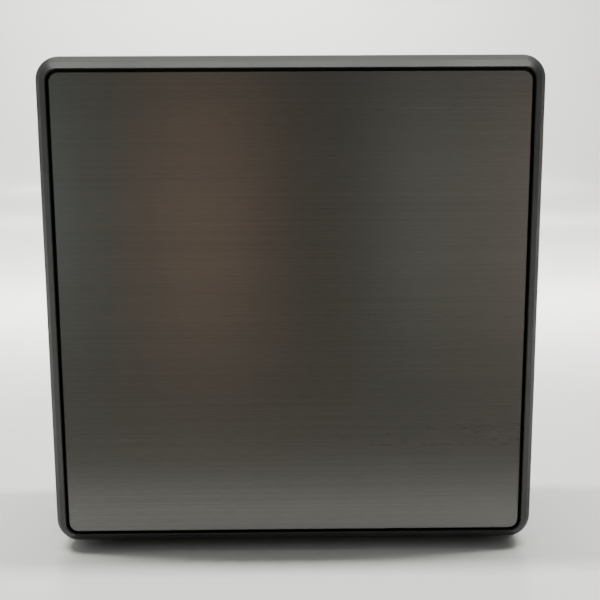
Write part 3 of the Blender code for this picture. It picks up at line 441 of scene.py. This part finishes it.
def usb_a(name, node, side, look):
    """The tongue, its four contacts and the shell's spring tabs."""
    tongue(name, node, side, (0.0130, 0.0112, 0.0018), 0.0036, 4, look)
    bm = bmesh.new()
    for y in (-USB_SPRINGS, USB_SPRINGS):
        block(bm, (-0.0095, y - 0.0009, 0.00042), (-0.0040, y + 0.0009, 0.00066), 0.00010)
        block(bm, (-0.0095, y - 0.0009, 0.00570), (-0.0040, y + 0.0009, 0.00588), 0.00008)
    piece(f"{name}_springs", bm, look["steel"], "case", mouth(node, side))


def ethernet(node, look):
    """Eight sprung wires in the network socket, and the two lamps beside the catch."""
    place = mouth(node, -1)
    bm = bmesh.new()
    for i in range(8):
        y = WIRE_PITCH * (i - 3.5)
        block(bm, (-0.0125, y - 0.00020, 0.0098), (-0.0045, y + 0.00020, 0.0101), 0.00006)
        block(bm, (-0.0126, y - 0.00020, 0.0075), (-0.0122, y + 0.00020, 0.0100), 0.00006)
    piece("ethernet_wires", bm, look["gold"], "case", place)
    for name, y, key in (("left", -0.0062, "amber"), ("right", 0.0062, "green")):
        bm = bmesh.new()
        block(bm, (-0.0010, y - 0.0011, 0.0004), (0.0002, y + 0.0011, 0.0022), 0.0002)
        piece(f"ethernet_lamp_{name}", bm, look[key], "case", place)


def round_sockets(look):
    """The power inlet's pin and lining, and the audio socket's ring and spring."""
    bm = bmesh.new()
    tube(bm, (-0.0095, 0, SOCKET_MIDDLE), 0.00112, 0.00045, 0.0078, 24)
    piece("power_pin", bm, look["steel"], "case", mouth("dc_jack", -1))
    bm = bmesh.new()
    tube(bm, (-0.0100, 0, SOCKET_MIDDLE), 0.0029, 0.0027, 0.0085, 32)
    piece("power_lining", bm, look["steel"], "case", mouth("dc_jack", -1))
    bm = bmesh.new()
    tube(bm, (-0.0003, 0, AUDIO_MIDDLE), 0.0027, 0.00185, 0.0004, 32)
    piece("audio_ring", bm, look["steel"], "case", mouth("audio_jack", 1))
    bm = bmesh.new()
    tube(bm, (-0.0085, 0, AUDIO_MIDDLE), 0.0018, 0.00168, 0.0050, 24)
    piece("audio_lining", bm, look["gold"], "case", mouth("audio_jack", 1))


def add_sockets(look):
    for i in (1, 2):
        usb_a(f"front_usb_{i}_socket", f"front_usb_{i}", 1, look)
        usb_a(f"rear_usb_{i}_socket", f"rear_usb_{i}", -1, look)
    for name, node, side, size, low, contacts in (
            ("front_usb_c_socket", "front_usb_c", 1, (0.0070, 0.0068, 0.0006), 0.0014, 12),
            ("hdmi_socket", "hdmi_port", -1, (0.0110, 0.0114, 0.0010), 0.0026, 10),
            ("display_socket", "display_port", -1, (0.0110, 0.0126, 0.0010), 0.0030, 10)):
        tongue(name, node, side, size, low, contacts, look, "inner")
    ethernet("ethernet_port", look)
    round_sockets(look)


# ---------------------------------------------------------------- outside details

def add_power_mark(look):
    """A plain ring with a gap and a bar, inlaid in the power button's face."""
    low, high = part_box("power_button")
    place = Matrix.Translation((high.x, (low.y + high.y) / 2, (low.z + high.z) / 2))
    bm = bmesh.new()
    gap = math.radians(32)
    arc_bar(bm, 0.0019, 0.00032, gap, 2 * math.pi - gap, -0.00015, 0.00003)
    block(bm, (-0.00015, -0.00016, 0.0009), (0.00003, 0.00016, 0.0027), 0.00005)
    piece("power_mark", bm, look["mark"], "power_button", place)


def vent_mesh(name, low, high, normal, look):
    """A fine black wire mesh in a flat rectangle, between two corners."""
    low, high = Vector(low), Vector(high)
    size = high - low
    across = [k for k in (X, Y, Z) if k != normal]
    counts = [max(1, round(size[k] / MESH_CELL)) for k in across]
    bm = bmesh.new()
    grid = {}
    for i in range(counts[0] + 1):
        for j in range(counts[1] + 1):
            point = low.copy()
            point[across[0]] += size[across[0]] * i / counts[0]
            point[across[1]] += size[across[1]] * j / counts[1]
            grid[i, j] = bm.verts.new(point)
    for i in range(counts[0]):
        for j in range(counts[1]):
            bm.faces.new((grid[i, j], grid[i + 1, j], grid[i + 1, j + 1], grid[i, j + 1]))
    made = piece(name, bm, look["mesh"], "case")
    wires = made.modifiers.new("wires", "WIREFRAME")
    wires.thickness = MESH_WIRE
    wires.use_boundary = True


def add_vents(look):
    """Dust meshes behind the slots of both side walls and of the rear panel."""
    low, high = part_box("housing")
    middle = (low.z + high.z) / 2
    front, back = high.y - VENT_FRONT, high.y - VENT_BACK
    for name, z in (("dust_mesh_top", high.z - VENT_WALL), ("dust_mesh_bottom", low.z + VENT_WALL)):
        vent_mesh(name, (-VENT_HALF, front, z), (VENT_HALF, back, z), Z, look)
    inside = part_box("rear_panel")[1].x + 0.0003
    vent_mesh("dust_mesh_rear", (inside, front, middle - VENT_HALF),
              (inside, back, middle + VENT_HALF), X, look)


# ---------------------------------------------------------------- inside details

def on_board(x, up):
    """A place on the board's face by its x and its height on the wall, as (x, y, z)."""
    return Vector((x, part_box("motherboard")[0].y, up))


def small_parts(name, spots, size, soften, material):
    """Many like blocks that stand on the board, in one object."""
    bm = bmesh.new()
    wide, high, tall = size
    for x, up in spots:
        place = on_board(x, up)
        block(bm, (place.x - wide / 2, place.y - tall, place.z - high / 2),
              (place.x + wide / 2, place.y, place.z + high / 2), soften)
    return piece(name, bm, material, "case")


def chip_legs(chips):
    """Two rows of flat legs beside each chip."""
    bm = bmesh.new()
    for x, up in chips:
        for i in range(10):
            step = 0.00062 * (i - 4.5)
            for side in (-1, 1):
                place = on_board(x + side * 0.0041, up + step)
                block(bm, (place.x - 0.0006, place.y - 0.0003, place.z - 0.00014),
                      (place.x + 0.0006, place.y, place.z + 0.00014), 0.00004, 1)
    return bm


def ceramic_spots(base):
    """Places of the small ceramic parts: two columns beside the drive, and a row at either end."""
    random.seed(4)
    spots = [(x + random.uniform(-0.0003, 0.0003), base + z)
             for x in (0.0372, 0.0462)
             for z in (0.0024 * i - 0.022 for i in range(28))
             if random.random() < 0.75]
    spots += [(x, base + side * (0.0520 + random.uniform(-0.0008, 0.0008)))
              for x in (0.0030 * i - 0.030 for i in range(20))
              for side in (-1, 1)
              if random.random() < 0.6]
    return spots


def ceramic_ends(spots):
    """The two metal ends of each small ceramic part."""
    bm = bmesh.new()
    for x, up in spots:
        for side in (-1, 1):
            place = on_board(x, up + side * 0.00050)
            block(bm, (place.x - 0.00034, place.y - 0.00064, place.z - 0.00016),
                  (place.x + 0.00034, place.y, place.z + 0.00016), 0.00005, 1)
    return bm


def capacitors(base):
    """Upright round capacitors along the edge of the board."""
    bm = bmesh.new()
    for x, up in CAPACITORS:
        place = on_board(x, base + up)
        drum(bm, (place.x, place.y - 0.0050, place.z), 0.0022, 0.0050, Y, 0.0003)
    return bm


def add_board_parts(look):
    """Chips, chokes and capacitors on the strip of board that shows beside the drive."""
    base = sum(c.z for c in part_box("motherboard")) / 2
    chips = [(CHIP_X, base + up) for up in CHIPS_UP]
    chokes = [(CHIP_X, base + up) for up in CHOKES_UP]
    small_parts("board_chips", chips, (0.0070, 0.0070, 0.0010), 0.00012, look["chip"])
    piece("chip_legs", chip_legs(chips), look["steel"], "case")
    small_parts("board_chokes", chokes, (0.0062, 0.0062, 0.0021), 0.0005, look["choke"])
    spots = ceramic_spots(base)
    small_parts("board_ceramics", spots, (0.0006, 0.0012, 0.0006), 0.00006, look["ceramic"])
    piece("ceramic_ends", ceramic_ends(spots), look["steel"], "case")
    piece("board_capacitors", capacitors(base), look["aluminium"], "case")


def add_drive_label(look):
    """The drive's label in its recess, with plain bars in place of print."""
    low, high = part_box("sata_drive")
    bm = bmesh.new()
    block(bm, (low.x + 0.008, low.y + 0.00002, low.z + 0.014),
          (high.x - 0.008, low.y + 0.00015, high.z - 0.010), 0.00004, 1)
    piece("drive_label", bm, look["label"], "case")
    bm = bmesh.new()
    for i in range(5):
        z = high.z - 0.018 - 0.006 * i
        end = high.x - 0.020 - 0.004 * (i % 3)
        block(bm, (low.x + 0.012, low.y - 0.00003, z - 0.0009), (end, low.y + 0.00005, z + 0.0009),
              0.00003, 1)
    piece("drive_label_bars", bm, look["chip"], "case")


def add_card_details(look):
    """Screws of the two cards and contacts of the memory."""
    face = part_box("motherboard")[0].y
    bm = bmesh.new()
    for node in ("ssd_card", "wifi_card"):
        low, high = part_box(node)
        x = (low.x + high.x) / 2
        drum(bm, (x, high.y + 0.0003, high.z), 0.0022, face - high.y - 0.0005, Y, 0.0001, 6)
        drum(bm, (x, high.y - 0.0018, high.z), 0.0024, 0.0007, Y, 0.0002, 24)
    piece("card_screws", bm, look["steel"], "case")
    bm = bmesh.new()
    for i in range(60):
        for node in ("ram_module_lower", "ram_module_upper"):
            low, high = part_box(node)
            z = low.z + 0.0035 + (high.z - low.z - 0.007) * i / 59
            block(bm, (low.x + 0.0065, high.y - 0.00120 - 0.00006, z - 0.00034),
                  (low.x + 0.0082, high.y - 0.0011, z + 0.00034))
    piece("memory_contacts", bm, look["gold"], "case")


def add_fan_label(look):
    """A plain round label on the fan's hub, and the ring of the hub's rim."""
    low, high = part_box("fan_rotor")
    x, z = (low.x + high.x) / 2, (low.z + high.z) / 2
    bm = bmesh.new()
    drum(bm, (x, high.y - 0.00005, z), 0.0088, 0.00016, Y, 0.00004, 48)
    piece("fan_label", bm, look["label"], "fan_rotor")
    bm = bmesh.new()
    tube(bm, (0, 0, 0), 0.0110, 0.0101, 0.00025, 48)
    turn = Matrix.Translation((x, high.y - 0.00005, z)) @ Matrix.Rotation(math.radians(90), 4, "Z")
    piece("fan_rim", bm, look["inner"], "fan_rotor", turn)


# ---------------------------------------------------------------- camera, room and light

def add_camera():
    """A camera a little above the lid plate's middle, turned slightly to one side."""
    low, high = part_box("lid_plate")
    middle = Vector(((low.x + high.x) / 2, low.y, (low.z + high.z) / 2))
    camera = bpy.data.objects.new("camera", bpy.data.cameras.new("camera"))
    camera.location = middle + Vector(CAMERA_FROM_PLATE)
    camera.rotation_euler = [math.radians(a) for a in (CAMERA_TILT, CAMERA_ROLL, CAMERA_TURN)]
    camera.data.lens = LENS
    camera.data.sensor_width = SENSOR
    camera.data.clip_start = 0.01
    bpy.context.scene.collection.objects.link(camera)
    bpy.context.scene.camera = camera


def stage_sheet(name, profile, wide, material):
    """A sheet across the whole width that follows a (y, z) profile."""
    bm = bmesh.new()
    rows = [[bm.verts.new((x, y, z)) for y, z in profile] for x in (-wide, wide)]
    for i in range(len(profile) - 1):
        bm.faces.new((rows[0][i], rows[1][i], rows[1][i + 1], rows[0][i + 1]))
    mesh = bpy.data.meshes.new(name)
    bm.to_mesh(mesh)
    bm.free()
    mesh.shade_smooth()
    mesh.set_sharp_from_angle(angle=SHARP)
    mesh.materials.append(material)
    sheet = bpy.data.objects.new(name, mesh)
    bpy.context.scene.collection.objects.link(sheet)
    return sheet


def add_room():
    """A pale floor that curves up into a wall behind the object.

    In front of the object, reflections see a brown table top and the room beyond it instead of
    the floor, as they do in the lid plate of the real thing.
    """
    front, curve_at, radius, top, wide = -0.066, 0.42, 0.10, 2.2, 3.0
    profile = [(front, 0.0), (curve_at, 0.0)]
    steps = 24
    for i in range(1, steps + 1):
        angle = math.radians(90) * i / steps
        profile.append((curve_at + radius * math.sin(angle), radius * (1 - math.cos(angle))))
    profile.append((curve_at + radius, top))
    made, tree, shader, place = new_material("room_white", PALE, 0.2)
    cloud = noise(tree, place, 3, 2)
    tree.links.new(ranged(tree, cloud, 0.18, 0.26), shader.inputs["Roughness"])
    stage_sheet("sheet", profile, wide, made)
    floor = stage_sheet("front_floor", [(-wide, 0.0), (front, 0.0)], wide, made)
    floor.visible_glossy = False
    floor.visible_shadow = False
    made, tree, shader, place = new_material("table_brown", TABLE, 0.6)
    weave = ranged(tree, noise(tree, place, 200, 4), 0, 1)
    tree.links.new(mixed(tree, weave, shade(TABLE, 0.8), shade(TABLE, 1.2)), shader.inputs["Base Color"])
    table = stage_sheet("table", [(TABLE_EDGE, TABLE_LEVEL), (front, TABLE_LEVEL)], wide, made)
    table.visible_camera = False


def add_light(name, place, aim, size, power, colour=(1, 1, 1), spread=180):
    """A rectangular soft light at a place, aimed at a point."""
    light = bpy.data.lights.new(name, "AREA")
    light.shape = "RECTANGLE"
    light.size, light.size_y = size
    light.energy = power
    light.color = colour
    light.spread = math.radians(spread)
    lamp = bpy.data.objects.new(name, light)
    lamp.location = place
    lamp.rotation_euler = (Vector(aim) - Vector(place)).to_track_quat("-Z", "Y").to_euler()
    lamp.visible_camera = False
    bpy.context.scene.collection.objects.link(lamp)


def add_world():
    """A dim, slightly green surround."""
    world = bpy.data.worlds.new("studio")
    bpy.context.scene.world = world
    world.use_nodes = True
    dim = world.node_tree.nodes["Background"]
    dim.inputs["Color"].default_value = (*WORLD, 1)
    dim.inputs["Strength"].default_value = WORLD_STRENGTH


def add_lights():
    """Soft light from above, a lit wall, weak fill, and tall dim panels that the lid reflects."""
    add_light("overhead", (0, 0.02, 0.62), (0, 0.02, 0), (0.8, 0.04), 8.6, PAPER_WHITE)
    add_light("overhead_front", (0, -0.04, 0.62), (0, -0.04, 0), (0.8, 0.06), 0.25, PAPER_WHITE)
    add_light("front_fill", (0, -1.3, 1.5), (0, -0.3, 0), (1.2, 0.6), 0.3, PAPER_WHITE)
    add_light("back_floor", (0, 0.40, 0.40), (0, 0.33, 0), (1.6, 0.10), 5.5, PAPER_WHITE, 60)
    add_light("back_wall", (-0.03, 0.05, 0.55), (-0.03, 0.52, 0.26), (0.3, 0.06), 0.9, PAPER_WHITE, 50)
    add_light("left_fill", (-0.9, -0.1, 0.35), (0, 0, 0.07), (0.6, 0.6), 1.2, PAPER_WHITE)
    for i, (x, wide, power, colour) in enumerate(PANELS):
        place = Vector((x, PANEL_Y, PANEL_Z))
        add_light(f"panel_{i}", place, place + Vector((0, 1, 0)), (wide, PANEL_HIGH), power, colour)


# ---------------------------------------------------------------- main

def main():
    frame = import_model()
    look = make_materials()
    finish_nodes(frame["nodes"], look)
    add_camera()
    add_room()
    add_world()
    add_lights()
    add_sockets(look)
    add_power_mark(look)
    add_vents(look)
    add_board_parts(look)
    add_drive_label(look)
    add_card_details(look)
    add_fan_label(look)


main()
